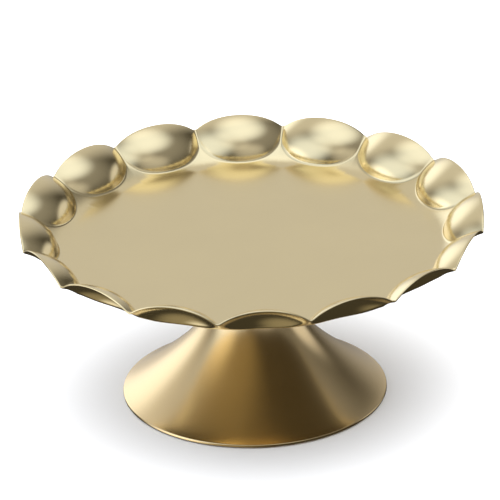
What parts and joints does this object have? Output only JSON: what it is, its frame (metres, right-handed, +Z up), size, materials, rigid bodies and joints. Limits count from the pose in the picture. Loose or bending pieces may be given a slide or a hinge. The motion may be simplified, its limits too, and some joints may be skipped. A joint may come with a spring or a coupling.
{
  "type": "cake stand",
  "caption": "Footed cake stand in satin gold metal: round flat tray with a ring of domed petals around its rim, on a flared trumpet pedestal with rubber pads under its hem.",
  "frame": {"origin": "on the table surface, directly under the centre of the tray, level with the undersides of the foot pads", "axes": "+Z up along the pedestal's axis, -Y towards the middle of one petal, +X to the right of that view"},
  "size_m": [0.2528, 0.2528, 0.1092],
  "materials": {
    "tray_gold": "satin champagne gold plating on pressed steel sheet",
    "pedestal_gold": "satin gold plating on spun steel sheet",
    "zinc_steel": "bright zinc plating",
    "gasket_silicone": "milky silicone",
    "pad_rubber": "matt black rubber"
  },
  "bodies": {
    "stand": {"tray": "tray_gold", "mount_plate": "tray_gold", "mount_stud": "zinc_steel", "seat_gasket": "gasket_silicone", "seat_disc": "pedestal_gold", "pedestal": "pedestal_gold", "flat_washer": "zinc_steel", "spring_washer": "zinc_steel", "foot_pad_1": "pad_rubber", "foot_pad_2": "pad_rubber", "foot_pad_3": "pad_rubber", "foot_pad_4": "pad_rubber"},
    "wing_nut": {"wing_nut": "zinc_steel"}
  },
  "joints": [
    {"name": "nut_turn", "type": "hinge", "parent": "stand", "child": "wing_nut", "pos_m": [0, 0, 0.075], "axis": [0, 0, 1], "continuous": true}
  ]
}
